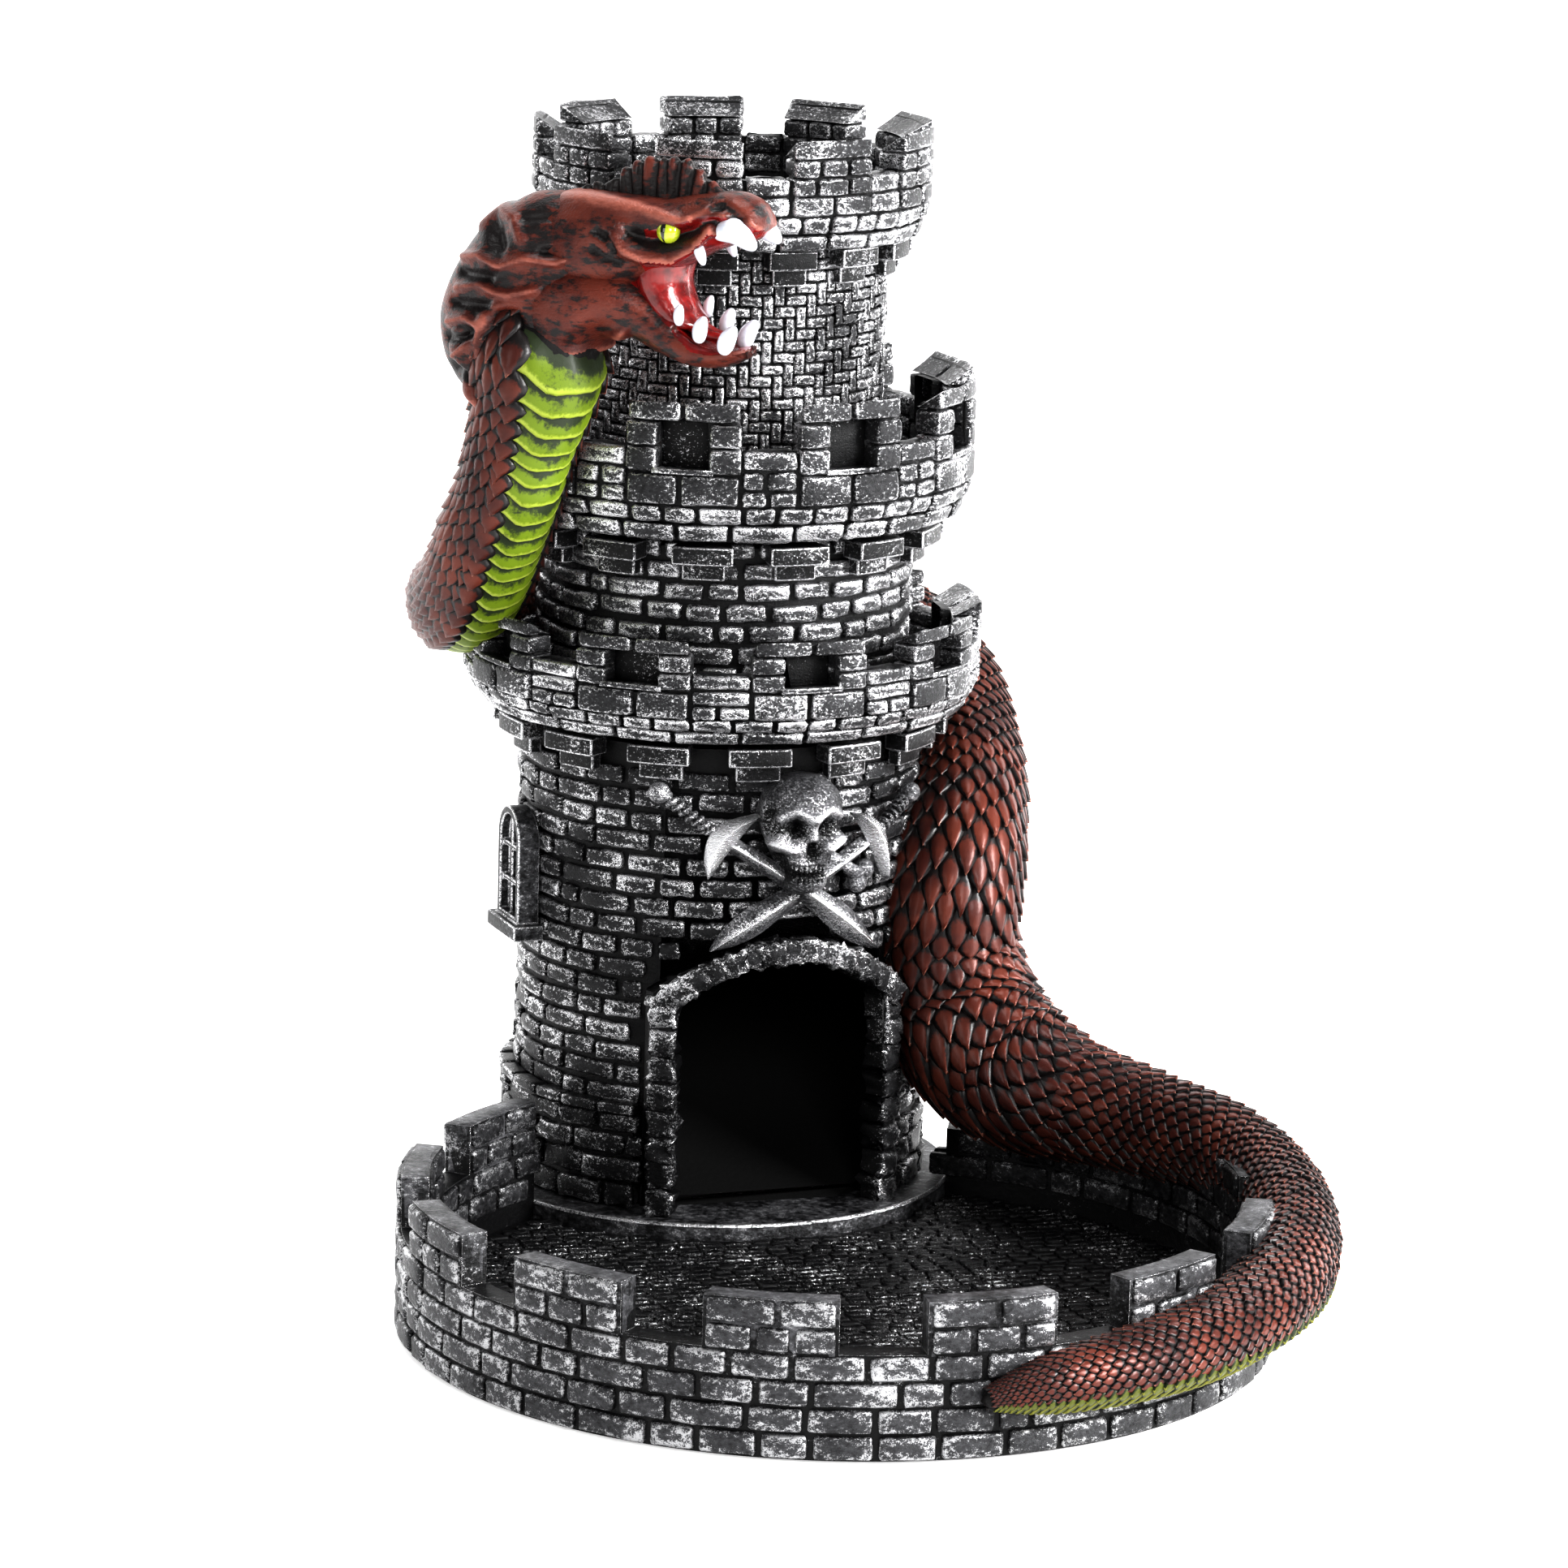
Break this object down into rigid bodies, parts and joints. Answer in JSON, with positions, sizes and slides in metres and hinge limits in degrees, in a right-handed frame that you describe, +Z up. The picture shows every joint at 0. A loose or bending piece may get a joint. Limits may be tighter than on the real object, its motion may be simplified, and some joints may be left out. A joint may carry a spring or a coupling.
{
  "type": "dice tower",
  "caption": "Round castle keep on a walled dice tray with a cobra coiled round it: dice drop in the top, tumble over ramps and roll out of the arched door.",
  "frame": {"origin": "middle of the round tray, on the underside that rests on the table", "axes": "+Z up, the tower's door faces -Y into the tray, +X to the right as seen from in front of the door"},
  "size_m": [0.106, 0.1463, 0.1322],
  "materials": {
    "stone_paint": "black resin dry-brushed with silver",
    "tray_stone": "black resin with a light silver dry brush",
    "silver_relief": "black resin heavily dry-brushed with silver",
    "inner_black": "matt black",
    "felt": "thin black felt",
    "snake_scales": "metallic brick red scales with black in the gaps",
    "snake_skin": "satin brick red with a black wash",
    "mouth_red": "glossy deep red",
    "tooth_white": "gloss white",
    "eye_yellow": "gloss yellow green with a black slit"
  },
  "bodies": {
    "root": {"base_pad": "felt", "crossbone": "silver_relief", "crown": "stone_paint", "crown_corbels": "stone_paint", "door_surround": "stone_paint", "exit_ramp": "inner_black", "keep_step": "stone_paint", "lower_baffle": "inner_black", "lower_corbels": "stone_paint", "lower_drum": "stone_paint", "lower_gallery": "stone_paint", "lower_teeth": "tooth_white", "mid_drum": "stone_paint", "plinth": "stone_paint", "skull": "silver_relief", "snake_coil": "snake_scales", "snake_crest": "snake_skin", "snake_eyes": "eye_yellow", "snake_head": "snake_skin", "snake_hood": "snake_skin", "snake_jaw": "snake_skin", "snake_lower_body": "snake_scales", "snake_neck": "snake_scales", "snake_tail": "snake_scales", "snake_tongue": "mouth_red", "sword_left": "silver_relief", "sword_right": "silver_relief", "top_drum": "stone_paint", "tray_floor": "tray_stone", "tray_wall": "stone_paint", "upper_baffle": "inner_black", "upper_corbels": "stone_paint", "upper_fangs": "tooth_white", "upper_gallery": "stone_paint", "window_back": "stone_paint", "window_left": "stone_paint"}
  },
  "joints": []
}
